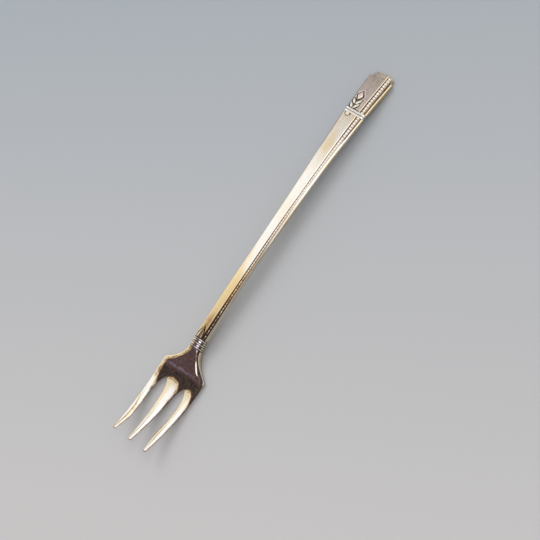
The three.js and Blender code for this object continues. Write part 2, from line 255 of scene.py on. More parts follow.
def old_silver(name, dark, clean=SILVER, toned=GOLDEN, polish=0.2, blotch=0.1, fringe=None, tints_and_reflection=None, rail_and_reflected_grey=None):
    """Old plate: clean metal, warm toning and dark tarnish by the piece's own marks, with blotches and fine scratches.

    A fringe rims the dark. The given tints colour the dark by the tint mark, with rust in patches, and the lilac at the
    mark's top is a painted reflection. A grey takes over as toning falls below 0: the lower rail's grey, and on the
    left tine a painted grey reflection."""
    material = bpy.data.materials.new(name)
    material.use_nodes = True
    tree = material.node_tree
    node, sums, spread, blend = nodes_in(tree)
    where = node("TexCoord").node.outputs["Object"]

    def mark(label):
        return node("Attribute", attribute_name=label).node.outputs["Fac"]

    def noise(scale, detail, stretch=(1, 1, 1)):
        stretched = node("Mapping", where, None, None, stretch)
        return node("TexNoise", stretched, scale, detail).node.outputs["Fac"]

    def shaded(colour, level):
        return blend(1.0, colour, node("CombineColor", level, level, level), kind="MULTIPLY")

    toning = mark("toning")
    patches = spread(noise(750, 6), 0.33, 0.67, -0.5, 0.5)
    cloud = spread(noise(160, 3, (1, 0.5, 1)), 0.33, 0.67, -0.5, 0.5)
    grain, scratches = noise(2600, 4), noise(900, 3, (5, 0.22, 5))
    thin = spread(sums("*+", patches, blotch, mark("tarnish")), 0.1, 0.9, 1.0, 0.0)
    dark_share = sums("-", 1.0, sums("POWER", thin, 2.2))
    colour = blend(spread(sums("*+", cloud, 0.4, toning), 0.0, 1.0), clean, toned)
    if rail_and_reflected_grey:
        colour = blend(spread(toning, -1.0, 0.0, 1.0, 0.0), colour, rail_and_reflected_grey)
    if tints_and_reflection:
        tint, top_reflection, rust = tints_and_reflection
        tint_and_sheen = mark("tint_and_sheen")
        dark = blend(spread(tint_and_sheen, 0.0, 0.5), dark, tint)
        dark = blend(sums("*", spread(tint_and_sheen, 0.5, 1.0), spread(patches, -0.6, 0.15)), dark, top_reflection)
        dark = blend(spread(noise(1500, 3), 0.45, 0.7, 0.0, 0.6), dark, rust)
        dark = shaded(dark, spread(noise(2300, 4, (1, 0.5, 1)), 0.35, 0.65, 0.72, 1.28))
    if fringe:
        colour = blend(spread(dark_share, 0.0, 0.55), colour, fringe)
        dark_share = spread(dark_share, 0.4, 1.0)
    colour = shaded(blend(dark_share, colour, dark), spread(grain, 0.3, 0.7, 0.92, 1.0))
    bump = node("Bump", SCRATCH_STRENGTH, SCRATCH_DEPTH).node
    tree.links.new(sums("+", scratches, sums("*", grain, 0.5)), bump.inputs["Height"])
    shader = tree.nodes["Principled BSDF"].inputs
    shader["Metallic"].default_value = 1.0
    tree.links.new(colour, shader["Base Color"])
    tree.links.new(spread(scratches, 0.3, 0.8, polish, polish + 0.1), shader["Roughness"])
    tree.links.new(bump.outputs["Normal"], shader["Normal"])
    return material


# Where the dark of the palm ends on each tine root, from left to right: low in the slots, arched between them.
dark_front = through(
    (-9.1, 26), (-7.7, 25.2), (-6.4, 21.8), (-5.6, 20.2), (-4.6, 22), (-3.7, 24), (-3.0, 25), (-1.2, 25.6),
    (0.4, 25.4), (1.5, 24.6), (2.4, 23), (2.9, 21.8), (3.6, 22.6), (4.6, 24.3), (6.5, 25.3), (7.6, 24.5),
    (8.4, 22.6), (8.8, 21), (9.2, 20.4),
)
# Where a tan band winds along the left tine's face, from its left side (-1) to its right (1). The tan, and the grey
# left of it, are a painted reflection.
tan_line = through((0.0, -0.3), (4.0, 0.15), (7.0, 0.5), (10, 0.4), (13, -0.2), (17, -0.6))
BARE, BLACKENED = -0.3, 1.35


def head_stain(s, x, z, part):
    """Tarnish, toning and tint. The dark stops at the left bevel and is taken off the right one's ridge, a painted
    highlight.
    """
    front = dark_front(x)
    soft = max(0.6 * hypot(1.0, (dark_front(x + 0.1) - dark_front(x - 0.1)) / 0.2), 1.0)
    dark = mix(BARE, BLACKENED, ramp(s, front - 2.8 * soft, front + 2.8 * soft))
    dark = max(dark, 0.34 * bump_at(s, front - 1.1 * soft, 0.3 * soft) * between(x, -3.6, -3.0, 6.4, 7.2))
    edge, width = palm_edge(s), bevel_width(max(s, PALM_START))
    left_ridge = edge - max(0.9 * width, 1.75)
    mottled = mix(0.32, BARE, ramp(-x, edge - 0.4 * width, edge - 0.05 * width))
    dark = mix(dark, mottled, ramp(-x, left_ridge - 0.3, left_ridge + 0.25) * ramp(s, 19, 24))
    # A bare line along the right bevel's ridge, where the head lamp's reflection falls: painted highlight.
    ridge_highlight = ramp(s, 29.7, 30.8) * mix(1.0, 0.62, ramp(s, 33.2, 34.6)) + 0.4 * bump_at(s, 37.5, 0.45)
    ridge = bump_at(x, edge - 0.84 * width, mix(0.5, 0.32, ramp(s, 32, 35))) * min(ridge_highlight, 1.0)
    dark = mix(dark, BARE, ridge)
    outer = ramp(abs(x), 3.0, 5.0)
    across = x - copysign(outer * (6.9 + 0.045 * s), x)
    lie = 2 * across / mix(centre_width(s), outer_width(s), outer)
    # Warm toning on the left half of each tine, left off the left tine's upper part: a painted warm reflection on the
    # left flanks.
    left_warm = mix(0.8, mix(0.8, 0.1, ramp(s, 11, 15)) if x < 0 else 0.75, outer)
    warm = mix(left_warm * fade(lie, -0.55, 0.15), 1.0, ramp(s, front - 2.6 * soft - 1.0, front - 0.8))
    warm = mix(mix(warm, 0.5, ramp(-x, edge - 0.4 * width, edge) * ramp(s, 24, 26)), -0.4, ridge)
    if s < PALM_START:
        # The right flanks near the roots and the left flanks near the tips are darkened: painted shade along the tines'
        # edges.
        right_side = ramp(lie, 0.3, 1.0) * ramp(s, 14, 18)
        left_side = ramp(-lie, 0.72, 0.95) * fade(s, 13, 18)
        dark = max(dark, 0.32 * right_side, 0.32 * left_side)
        if x < -4.0:
            # Tan along the winding band and grey to its left: painted reflection on the left tine.
            line = tan_line(s)
            tan = bump_at(lie, line, 0.5) * between(s, 0.5, 2.0, 12.5, 17)
            grey = fade(lie, line - 0.5, line) * between(s, 2.0, 4.5, 10.5, 15)
            dark = max(dark, 0.26 * tan)
            warm = max(mix(mix(warm, -0.9, grey), 1.0, tan), 0.9 * ramp(s, 20, 22.5))
        # The tines' eased edges are darkened: painted shade.
        if part == "edge":
            dark = max(dark, 0.3)
    if part == "edge" and x > 0:
        bright = ramp(s, 28.2, 29.2)
        dark, warm = mix(dark, 0.0, bright), mix(warm, 0.35, bright)
    # The side walls of the tines and slot roots are darkened, all but the outer left wall that faces the light: painted
    # shade.
    if part == "side":
        dark = mix(mix(0.14, 0.34, ramp(s, 11, 17)), 0.0, ramp(s, 26.2, 27.4)) if x > -edge + 0.5 else 0.0
        warm = 0.7
    # The underside's right rim is darkened: painted shade.
    if part == "under":
        dark, warm = 0.45 * (x > 0 and z > handle_bottom(max(s, PALM_START)) + 0.3), 0.45
    # The tip ends are darkened: painted shade.
    dark = max(dark, mix(0.45, BARE, ramp(s, 0.1, 0.8)))
    # A lilac band across the bend where the palm starts to rise: painted reflection. The purple tint behind it is the
    # tarnish's own.
    band = bump_at(s, 29.1 + 0.07 * x, mix(1.15, 0.85, ramp(x, -7.0, 1.0)))
    band *= mix(0.8, 1.0, bump_at(x, -1.2, 3.0)) * fade(x, 4.8, 6.6)
    purple = max(band, 0.5 * ramp(s, 27.5, 29))
    # The tint is taken off the right bevel's outer part, which shows olive-black there: a painted dark reflection.
    return dark, warm, purple * (1 - ramp(s, 27.6, 28.6) * ramp(x, edge - 0.65 * width, edge - 0.4 * width))


# The lilac is a painted reflection's colour; the purple black and the rust are the tarnish's own.
PURPLE_BLACK, LILAC_REFLECTION, RUST = (0.1, 0.062, 0.062), (0.2, 0.145, 0.19), (0.12, 0.068, 0.052)
OLIVE_BLACK, EARTH_BROWN = (0.045, 0.033, 0.027), (0.29, 0.17, 0.095)


def palm_ring(s):
    edge, top, width, depth = palm_edge(s), handle_top(s), bevel_width(s), bevel_depth(s)
    face = []
    for x in even(-edge + EDGE_EASE, edge - EDGE_EASE, count=60):
        face.append((x, top - depth * bevel(1 - (edge - abs(x)) / width), "face"))
    return finish_ring(face, -edge, edge, handle_bottom(s), under_edge(s), EDGE_EASE, EDGE_EASE)


palm_sections = [(s, palm_ring(s)) for s in places(PALM_START, COLLAR_START, step=0.2)]
head_film = dict(fringe=EARTH_BROWN, tints_and_reflection=(PURPLE_BLACK, LILAC_REFLECTION, RUST))
palm_silver = old_silver("tarnished_palm_silver", OLIVE_BLACK, polish=0.14, blotch=0.13, **head_film)
palm = struck_piece("palm_metal", palm_sections, head_stain, palm_silver)
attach(palm, "root")
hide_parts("palm")

# ---- Tines ----
# Three tapering tines, pierced from the same blank, thinned towards blunt tips and curled up from the heel.
# Their faces are domed and still bright along the middle, and dark in the slot roots. The warm tone on their
# left halves and the tan and grey on the left tine are painted reflection, and their side walls, edges, right
# under-rims and tip ends are darkened as painted shade.
TIP_THICKNESS, TIP_HEIGHT, TIP_EASE, TIP_SHARE = 1.1, 7.2, 0.4, 0.55
TIP_PLACES = [0, 0.02, 0.08, 0.18, 0.3]
ARCH_START, ARCH_LENGTH, ARCH_POWER, ROOT_FLAT = 16.8, 7.4, 0.6, 0.4
DOME_DEPTH, DOME_END, SLOT_EASE, TINE_UNDER = 0.55, 11, 0.3, 0.45
# The grey is a painted reflection, used on the left tine.
ROSE_GOLD, REFLECTED_GREY = (0.8, 0.665, 0.45), (0.5, 0.465, 0.42)


def slot_edges(s):
    """Half widths of the centre tine and of the gap's outer side at s: the slot closes in a round arch at its root."""
    q = min(s, ARCH_START)
    centre, inner = centre_width(q) / 2, head_edge(q) - outer_width(q)
    u = min(max((s - ARCH_START) / ARCH_LENGTH, 0.0), 1.0)
    half = max((inner - centre) / 2 * (1 - u * u) ** ARCH_POWER, ROOT_FLAT / 2)
    middle = (inner + centre) / 2
    return middle - half, middle + half


def tine_ring(s, left, right, left_is_outer, right_is_outer):
    """A flat blank's cross-section, before the tine is thinned and curled."""
    root, width = ramp(s, DOME_END, TINE_LENGTH), right - left
    sides = []
    for outer in (left_is_outer, right_is_outer):
        reach = mix(width / 2, bevel_width(PALM_START) if outer else SLOT_EASE, root)
        sides.append((reach, mix(DOME_DEPTH, bevel_depth(PALM_START) if outer else 0.0, root)))

    def drop(x):
        total = 0.0
        for (reach, depth), away in zip(sides, (x - left, right - x)):
            share = max(1 - away / reach, 0.0)
            total += depth * mix(share * share, bevel(share), root)
        return total

    tip = 1.0 if s >= TIP_EASE else mix(TIP_SHARE, 1.0, sqrt(1 - (1 - s / TIP_EASE) ** 2))
    ease = min(EDGE_EASE, 0.2 * width) * tip
    face = [(x, PALM_THICKNESS - drop(x), "face") for x in even(left + ease, right - ease, count=20)]
    ring = finish_ring(face, left, right, 0.0, min(TINE_UNDER, 0.35 * width), ease, ease)
    middle, lift = (left + right) / 2, PALM_THICKNESS / 2
    return [(mix(middle, x, tip), mix(lift, z, tip), part) for x, z, part in ring]


def tree_for(name, *sizes):
    """An empty geometry tree with named number inputs and a Finish input, its inputs in order, and makers of nodes."""
    tree = bpy.data.node_groups.new(name, "GeometryNodeTree")
    tree.interface.new_socket("Geometry", in_out="OUTPUT", socket_type="NodeSocketGeometry")
    for label, kind in (("Geometry", "Geometry"), *((size, "Float") for size in sizes), ("Finish", "Material")):
        tree.interface.new_socket(label, in_out="INPUT", socket_type="NodeSocket" + kind)
    given = tree.nodes.new("NodeGroupInput").outputs
    node, sums = nodes_in(tree)[:2]

    def point(*xyz):
        return node("ShaderNodeCombineXYZ", *xyz)

    def split(what):
        """The X, Y and Z of each point's Position or Normal."""
        return node("ShaderNodeSeparateXYZ", node("Input" + what)).node.outputs

    def finish(geometry):
        whole = node("RealizeInstances", geometry)
        coated = node("SetMaterial", whole, None, given["Finish"])
        tree.links.new(coated, tree.nodes.new("NodeGroupOutput").inputs[0])

    return tree, given[: len(sizes) + 1], node, sums, point, split, finish


def press(blank, tree, finish, lengths, **shares):
    """Runs a tree over a blank, with lengths in millimetres, and keeps the outcome as the blank's own plain mesh."""
    sizes = {"finish": finish, **{key: length / 1000 for key, length in lengths.items()}, **shares}
    modifier = blank.modifiers.new(tree.name, "NODES")
    modifier.node_group = tree
    for item in tree.interface.items_tree:
        key = item.name.lower().replace(" ", "_")
        if item.in_out == "INPUT" and key in sizes:
            modifier[item.identifier] = sizes[key]
    pressed = bpy.data.meshes.new_from_object(blank.evaluated_get(bpy.context.evaluated_depsgraph_get()))
    blank.modifiers.remove(modifier)
    blank.data = pressed
    pressed.name = blank.name
    pressed.set_sharp_from_angle(angle=SHARP_ANGLE)


curl_tree, given, node, sums, point, split, finish = tree_for(
    "curl_tine", "Root Place", "Length", "Root Thickness", "Tip Thickness", "Tip Height"
)
flat_tine, root_place, length, root_thickness, tip_thickness, tip_height = given
x, y, z = split("Position")
curl = sums("/", sums("-", root_place, y), length)
rise = sums("*", sums("-", tip_height, root_thickness), sums("*", curl, curl))
thinned = sums("*+", sums("-", tip_thickness, root_thickness), curl, root_thickness)
below = sums("*", sums("-", root_thickness, z), sums("/", thinned, root_thickness))
height = sums("-", sums("+", root_thickness, rise), below)
finish(node("SetPosition", flat_tine, None, point(x, y, height)))

tine_silver = old_silver(
    "bright_tine_silver", OLIVE_BLACK, toned=ROSE_GOLD, polish=0.18, blotch=0.09, rail_and_reflected_grey=REFLECTED_GREY, **head_film
)
tine_sizes = dict(
    root_place=TINE_LENGTH - FORK_LENGTH / 2, length=TINE_LENGTH, root_thickness=PALM_THICKNESS,
    tip_thickness=TIP_THICKNESS, tip_height=TIP_HEIGHT,
)
tine_places = TIP_PLACES + places(TIP_EASE, ARCH_START, step=0.25) + places(ARCH_START, TINE_LENGTH, step=0.12)[1:]
tine_cuts = {
    "left_tine": lambda s: (-head_edge(s), -slot_edges(s)[1], True, False),
    "centre_tine": lambda s: (-slot_edges(s)[0], slot_edges(s)[0], False, False),
    "right_tine": lambda s: (slot_edges(s)[1], head_edge(s), False, True),
}
for node_name, cut in tine_cuts.items():
    tine = struck_piece(node_name + "_metal", [(s, tine_ring(s, *cut(s))) for s in tine_places], head_stain)
    press(tine, curl_tree, tine_silver, tine_sizes)
    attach(tine, "root")
    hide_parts(node_name)

# ---- Neck collar ----
# A short length of the neck with three raised rings that run over the face and down both sides.
# It is part of the same blank. Old tarnish darkens it like the palm, and the ring tops are rubbed.
# A bare patch over the rings right of the middle is a painted highlight, and the right end's green-black is a
# painted dark reflection.
RING_HEIGHT, RING_GAP, BAR_EASE, HAIR = 0.3, 0.25, 0.35, 1e-7
RINGS_BEGIN, RINGS_STOP = (37.8, 37.95), (41.35, 41.5)
COLLAR_FALL, FALL_FROM = 0.85, -0.9
# The clean silver here serves the rubbed ring tops and the painted highlight.
RUBBED_AND_HIGHLIGHT_SILVER, GREEN_BLACK, PLUM = (0.95, 0.91, 0.88), (0.055, 0.058, 0.042), (0.15, 0.105, 0.13)
handle_edge = through(
    (COLLAR_START, 2.35), (STEM_START, 2.35), (CREST, 2.2), (UPPER, 2.8), (BAND_START, 3.9), (FORK_LENGTH, 4.7)
)

ring_tree, given, node, sums, point, split, finish = tree_for(
    "raise_rings", "Start", "Length", "Gap", "Half Width", "Groove", "Height", "Swell Between", "Side", "Rings",
    "Rubbed", "Groove Dark",
)
bar, start, length, gap, half_width, groove, height, swell_between, side, rings, rubbed, soot = given
pitch = sums("/", sums("+", length, gap), rings)
turn = sums("-", sums("-", split("Position")[1], start), HAIR)
turn = sums("FRACT", sums("/", turn, pitch))
middle = sums("*", sums("-", pitch, gap), 0.5)
away = sums("ABSOLUTE", sums("-", sums("*", turn, pitch), middle))
away = sums("MINIMUM", away, sums("-", pitch, away))
ring = sums("MINIMUM", sums("/", away, half_width), 1.0)
swell = sums("SQRT", sums("-", 1.0, sums("*", ring, ring)))
foot = sums("+", half_width, groove)
room = sums("-", sums("*", pitch, 0.5), foot)
low = sums("MINIMUM", sums("MAXIMUM", sums("/", sums("-", away, foot), room), 0.0), 1.0)
low = sums("SQRT", sums("*", low, sums("-", 2.0, low)))
lift = sums("*+", swell, height, sums("*", low, swell_between))
nx, _, nz = split("Normal")
outwards = sums("*", sums("*", nx, side), swell)
upwards = sums("*", sums("MAXIMUM", nz, 0.0), lift)
old_mark = node("InputNamedAttribute", "tarnish")
worn = sums("*", old_mark, sums("-", 1.0, sums("*", swell, rubbed)))
hollow = sums("-", 1.0, sums("MAXIMUM", swell, low))
soiled = sums("*+", hollow, soot, worn)
marked = node("StoreNamedAttribute", bar, None, "tarnish", soiled)
finish(node("SetPosition", marked, None, None, point(outwards, 0.0, upwards)))


def ringed_length(name, start, end, fall, stain, silver, ring_sizes, **shares):
    """A length of bar, its face lowered by fall(x, edge), with rings raised round it."""
    sections = []
    for s in places(start, end, step=0.06):
        edge, top = handle_edge(s), handle_top(s)
        face = [(x, top - fall(x, edge), "face") for x in even(-edge + BAR_EASE, edge - BAR_EASE, count=24)]
        sections.append((s, finish_ring(face, -edge, edge, handle_bottom(s), under_edge(s), BAR_EASE, BAR_EASE)))
    piece = struck_piece(name, sections, stain)
    lengths = dict(start=start - FORK_LENGTH / 2, length=end - start, gap=RING_GAP, height=RING_HEIGHT)
    press(piece, ring_tree, silver, {**lengths, **ring_sizes}, **shares)
    return piece


def collar_stain(s, x, z, part):
    if part == "under":
        return 0.05, 0.5, 0.5
    if part == "side":
        return 0.0, 0.4, 0.0
    if part == "edge" and x > 0:
        return 0.2, 0.4, 0.0
    ringed = between(s, *RINGS_BEGIN, *RINGS_STOP)
    # A bare patch right of the middle, where the head lamp's reflection falls on the bands: painted highlight.
    glint = between(x, -0.25, 0.4, 0.95, 1.25) * ringed
    left = ramp(-x, 0.8, 1.4) * mix(ramp(-x, 1.5, 1.8), 1.0, ringed)
    # The tint fades out on the right end and past the rings; on the right end the green-black left there is a painted
    # dark reflection.
    purple = 0.5 * fade(x, 1.1, 1.4) * fade(s, *RINGS_STOP)
    return mix(1.2, 0.0, left) * (1 - glint), 0.6 * ramp(-x, -0.3, 1.0), purple


def collar_fall(x, edge):
    return COLLAR_FALL * (max(x - FALL_FROM, 0.0) / (edge - FALL_FROM)) ** 2


collar_silver = old_silver(
    "rubbed_collar_silver", GREEN_BLACK, clean=RUBBED_AND_HIGHLIGHT_SILVER, polish=0.14, blotch=0.08, tints_and_reflection=(PLUM, LILAC_REFLECTION, RUST)
)
collar = ringed_length(
    "neck_collar_metal", COLLAR_START, STEM_START, collar_fall, collar_stain, collar_silver,
    dict(half_width=0.22, groove=0.17, swell_between=0.05, side=0.15), rings=3.0, rubbed=0.72, groove_dark=1.0,
)
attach(collar, "root")
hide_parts("neck_collar")

# ---- Neck leaf ----
# A small pointed leaf in low relief, standing on the collar where the panel begins.
# It is struck up from the blank, with a raised rim and a short rib, and dark in its hollows. Its right side is darker
# as painted shade.
LEAF_LENGTH, LEAF_WIDTH, LEAF_FOOT, LEAF_X = 3.9, 2.2, 41.84, -0.75
RELIEF_SKIRT, SKIRT_STAIN, LEAF_BROWN = 0.12, (1.0, 0.8), (0.16, 0.112, 0.07)


def relief_piece(name, length, half_width, height, foot, x_at, stain, finish=None, rows=25, columns=24):
    """A low relief along the handle from its foot. height(u, v) is its rise, u along it and v from -1 to 1 across."""
    points, marks, faces = [], [], []
    for u in even(0, 1, rows):
        for v in even(-1, 1, columns):
            s = foot + u * length
            points.append(at(x_at + v * half_width(u), s, handle_top(s) + height(u, v)))
            marks.append(stain(u, v))
    wide = columns + 1
    for i in range(rows):
        for a in range(i * wide, i * wide + columns):
            faces.append((a, a + 1, a + wide + 1, a + wide))
    end, low = rows * wide, len(points)
    rim = [*range(columns), *range(columns, low - 1, wide), *range(low - 1, end, -1), *range(end, 0, -wide)]
    for a in rim:
        x, y, z = points[a]
        points.append((x, y, (handle_top(place_of(y)) - RELIEF_SKIRT) / 1000))
        marks.append(SKIRT_STAIN)
    for k in range(len(rim)):
        n = (k + 1) % len(rim)
        faces.append((rim[k], low + k, low + n, rim[n]))
    faces.append(tuple(low + k for k in reversed(range(len(rim)))))
    return made_piece(name, points, faces, marks, finish)


def lancet(u):
    return LEAF_WIDTH / 2 * max(1 - u * u, 0.06)


def leaf_rise(u, v):
    rim = 0.26 * bump_at(abs(v), 0.7, 0.28)
    rib = 0.11 * bump_at(v, 0.08, 0.15) * fade(u, 0.4, 0.7)
    crown = 0.2 * ramp(u, 0.7, 0.95) * (1 - v * v)
    return (0.1 + rim + rib + crown) * (1 - abs(v) ** 10) * (1 - 0.5 * ramp(u, 0.92, 1.0)) - 0.02


def leaf_stain(u, v):
    # Dark in the hollows, and darker over the right side: painted shade.
    return max(mix(1.2, -0.2, ramp(leaf_rise(u, v), 0.15, 0.26)), 0.45 * ramp(v, 0.35, 0.55)), 0.7


neck_leaf = relief_piece(
    "neck_leaf_metal", LEAF_LENGTH, lancet, leaf_rise, LEAF_FOOT, LEAF_X, leaf_stain,
    old_silver("neck_leaf_silver", LEAF_BROWN),
)
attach(neck_leaf, "root")
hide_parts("neck_leaf")

# ---- Stem ----
# The long shank, a bar struck with a slightly crowned panel, a sunk channel on its right and a narrow rail outside.
# Warm toning covers its lower third and fades to bright metal. The lower rail is dull, and old tarnish darkens
# the channel. The panel is darker near the neck, and the upper stem's left edge is darkened as painted shade.
CHANNEL_DEPTH, RAIL_DROP, RAIL_LEAN, PANEL_CROWN, LIP, FILLET = 0.38, 0.04, 0.14, 0.05, 0.3, 0.34
RAIL_EASE, OPEN_EDGE, OPEN_EASE = 0.25, 0.14, 0.06
TONGUE_START, TONGUE_WIDTH, TONGUE_END = 116, 3.7, 128.5
SPRIG_X, BAND_BUD_LENGTH, BAND_BUD_WIDTH = -2.1, 1.3, 1.85
BAND_BUD_FOOT = BAND_START - BAND_BUD_LENGTH - 0.04
LEAF_GROUND, BAND_BUD_GROUND, STEM_PRESSED = 0.3, 0.26, 0.06
LEAF_CLEAR, BAND_BUD_CLEAR = 47.5, 131.5
CHANNEL_BLACK, RED_BROWN, RAIL_GREY = (0.05, 0.034, 0.03), (0.28, 0.13, 0.062), (0.41, 0.365, 0.27)
STEM_GOLD = (0.8, 0.61, 0.32)


def along_handle(*values):
    """A curve through values at the collar, the crest, the upper shank, the cross band and the end."""
    return through(*zip((STEM_START, CREST, UPPER, BAND_START, FORK_LENGTH), values))


rail_width = along_handle(0.25, 0.5, 0.75, 0.55, 0.52)
channel_width = along_handle(1.5, 1.1, 1.25, 2.2, 2.45)
fillet_place = through((STEM_START, 0.69), (BAND_START, 0.69), (FORK_LENGTH, 0.58))
right_swell = through((STEM_START, 0.0), (60, 0.05), (CREST, 0.2), (FORK_LENGTH, 0.25))
stem_toning = through(
    (36, 1.0), (STEM_START, 1.0), (66, 0.95), (72, 0.6), (80, 0.12), (104, 0.1), (112, 0.2),
    (BAND_START, 0.25),
)
rail_toning = through(
    (STEM_START, -1.0), (72, -0.95), (87, -0.5), (100, -0.3), (116, 0.3), (FORK_LENGTH, 0.3)
)
# The panel is darker near the neck, fading out by s 60.
neck_darkening = through((STEM_START, 0.31), (48, 0.31), (51, 0.245), (56, 0.09), (60, 0.0), (FORK_LENGTH, 0.0))
groove_dark = through(
    (STEM_START, 1.2), (50, 0.8), (55, 0.54), (59, 0.42), (CREST, 0.37), (92, 0.3), (101, 0.1),
    (121, 0.1), (127, 0.39), (FORK_LENGTH, 0.39),
)


def right_edge(s):
    return handle_edge(s) + right_swell(s)


def channel_sides(s):
    outer = right_edge(s) - rail_width(s)
    return outer - channel_width(s), outer


def channel_right(s, x):
    """0 on the left of the channel's floor and 1 on its right."""
    inner, outer = channel_sides(s)
    return ramp((x - inner) / (outer - inner), 0.3, 0.5)


def panel_rise(s, x):
    """How far the panel's crown stands above the face line."""
    inner, edge = channel_sides(s)[0], handle_edge(s)
    middle, half = (inner - edge) / 2, (inner + edge) / 2
    return PANEL_CROWN * (1 - min(abs(x - middle) / half, 1.0) ** 2)


def panel_toning(s, x):
    """Toning and dimness. The lower toning ends aslant, and a bright tongue lies on the upper panel in dimmer metal."""
    low = stem_toning(s + 3.0 * (x + 1.0)) * fade(s, 84, 90)
    middle = (channel_sides(s)[0] - handle_edge(s)) / 2
    along = max(s - TONGUE_START, 0.0) / (TONGUE_END - TONGUE_START)
    half = TONGUE_WIDTH / 2 * sqrt(max(1 - along ** 2, 0.0))
    tongue = ramp(s, 100, 118) * fade(abs(x - middle), half - 0.4, half + 0.4)
    return max(low, 0.5 * tongue, 0.34 * ramp(s, 112, 124), 0.1), 0.17 * ramp(s, 108, 122) * (1 - tongue)


def handle_ring(s, left, right, depth, sunk, columns, open_side=False):
    """Panel, lip, channel and rail from left to right. sunk(s, x) is how far the panel is pressed round its relief."""
    top, inner, outer = handle_top(s), *channel_sides(s)
    rail, wide, bed, crest = top - RAIL_DROP, outer - inner, top - depth, fillet_place(s)
    right_ease = min(RAIL_EASE, 0.45 * rail_width(s))
    if open_side:
        outer, rail, right_ease = right - OPEN_EDGE, bed, OPEN_EASE
        wide = min(wide, (outer - inner) / 0.8)
    fillet = FILLET * ramp(s, 100, 122) * min(1.0, depth / CHANNEL_DEPTH)
    lean = 0.0 if open_side else RAIL_LEAN * (right - outer)
    face = [(x, top + panel_rise(s, x) - sunk(s, x), "face") for x in even(left + BAR_EASE, inner - LIP, columns)]
    face += [(inner - 0.16, top - 0.015, "lip"), (inner - 0.06, top - 0.05, "lip")]
    face.append((inner, top - min(0.16, depth), "lip"))
    face += [(inner + wide * share, bed, "groove") for share in (0.02, 0.2, 0.4, crest - 0.07)]
    for off, rise in ((-0.05, 0.75), (0.0, 1.0), (0.04, 0.75)):
        face.append((inner + wide * (crest + off), bed + fillet * rise, "fillet"))
    face += [(inner + wide * (crest + 0.07), bed, "groove"), (outer - 0.03, bed, "groove")]
    face += [(outer, rail - min(0.08, 0.3 * depth), "lip"), (outer + 0.2 * (right - outer), rail, "rail")]
    face.append((right - right_ease, rail - lean, "rail"))
    return finish_ring(face, left, right, handle_bottom(s), under_edge(s), BAR_EASE, right_ease)


def beside(s, x, foot, x_at, length, half_width, turn=0.0):
    """How far a point of the panel lies outside a relief's outline, in millimetres."""
    a, c = s - foot, x - x_at
    along, across = a * cos(turn) + c * sin(turn), c * cos(turn) - a * sin(turn)
    half = half_width(min(max(along / length, 0.0), 1.0))
    return hypot(max(abs(across) - half, 0.0), max(-along, along - length, 0.0))


def by_leaf(s, x):
    return bump_at(beside(s, x, LEAF_FOOT, LEAF_X, LEAF_LENGTH, lancet), 0.0, LEAF_GROUND)


def bud_half(u):
    return BAND_BUD_WIDTH / 2 * sqrt(max(1 - (1 - u) ** 2, 0.03))


def by_bud(s, x):
    # Stronger towards the band; in the stain, that added dark is a painted shadow of the band, and the rest is tarnish
    # in the ground.
    faint = mix(0.4, 1.0, ramp(s, BAND_BUD_FOOT + 0.3, BAND_BUD_FOOT + 1.1))
    return faint * bump_at(beside(s, x, BAND_BUD_FOOT, SPRIG_X, BAND_BUD_LENGTH, bud_half), 0.0, BAND_BUD_GROUND)


def stem_sunk(s, x):
    return STEM_PRESSED * max(by_leaf(s, x), by_bud(s, x))


def stem_stain(s, x, z, part):
    warm, deep = stem_toning(s), groove_dark(s)
    if part == "fillet":
        return mix(deep, 0.0, ramp(s, 104, 120)), 0.2
    if part == "groove":
        left_floor = max(deep, mix(0.44, 0.33, ramp(s, 78, 88)))
        return mix(left_floor, deep, channel_right(s, x)), mix(1.0, 0.1, ramp(s, 60, 90))
    if part == "lip":
        return mix(mix(0.47, 0.36, ramp(s, 46, 54)), 0.0, ramp(s, 52, 75)), max(warm, 0.3)
    if part == "face":
        neck_dark = neck_darkening(s) * mix(0.75, 1.0, bump_at(x, -0.6, 0.9))
        toned, dim = panel_toning(s, x)
        return max(by_leaf(s, x), by_bud(s, x), neck_dark, dim), toned
    if part == "under":
        return 0.0, 0.4
    if part == "side":
        return 0.0, mix(0.3, 0.6, ramp(s, 60, 85)) if x > 0 else 0.5
    if part == "rail" or x > 0:
        inside = part == "rail" and x < channel_sides(s)[1] + 0.5 * rail_width(s)
        golden = ramp(s, 76, 90) * (part == "edge")
        return mix(0.42 if inside else 0.1, 0.0, ramp(s, 66, 100)), mix(rail_toning(s), 0.6, golden)
    # The upper stem's left edge is darkened: painted shade.
    return 0.5 * ramp(s, 114, 122), max(warm, 0.4)


stem_places = places(STEM_START, LEAF_CLEAR, step=0.15) + places(LEAF_CLEAR, BAND_BUD_CLEAR, step=1.0)[1:]
stem_places += places(BAND_BUD_CLEAR, BAND_START, step=0.15)[1:]
stem_sections = [
    (s, handle_ring(s, -handle_edge(s), right_edge(s), CHANNEL_DEPTH, stem_sunk, columns=30)) for s in stem_places
]
stem_silver = old_silver(
    "toned_stem_silver", CHANNEL_BLACK, toned=STEM_GOLD, polish=0.18, blotch=0.035, fringe=RED_BROWN, rail_and_reflected_grey=RAIL_GREY
)
stem = struck_piece("stem_metal", stem_sections, stem_stain, stem_silver)
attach(stem, "root")
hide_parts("stem")

# ---- Stem beads ----
# A line of small domed beads on a low cord, struck in the floor of the stem's channel from the collar to the band.
# The gaps between them hold dark tarnish, and their tops are rubbed bright.
BEAD_MARGIN, BEAD_BROWN = 0.25, (0.2, 0.15, 0.095)
bead_width = along_handle(0.55, 0.62, 0.85, 1.15, 1.2)
bead_place = along_handle(0.46, 0.45, 0.43, 0.37, 0.28)
bead_wear = through(
    (STEM_START, 0.44), (52, 0.39), (58, 0.34), (64, 0.27), (CREST, 0.05), (92, -0.55), (101, -1.2),
    (119, -1.2), (125, -0.4), (FORK_LENGTH, -0.35),
)

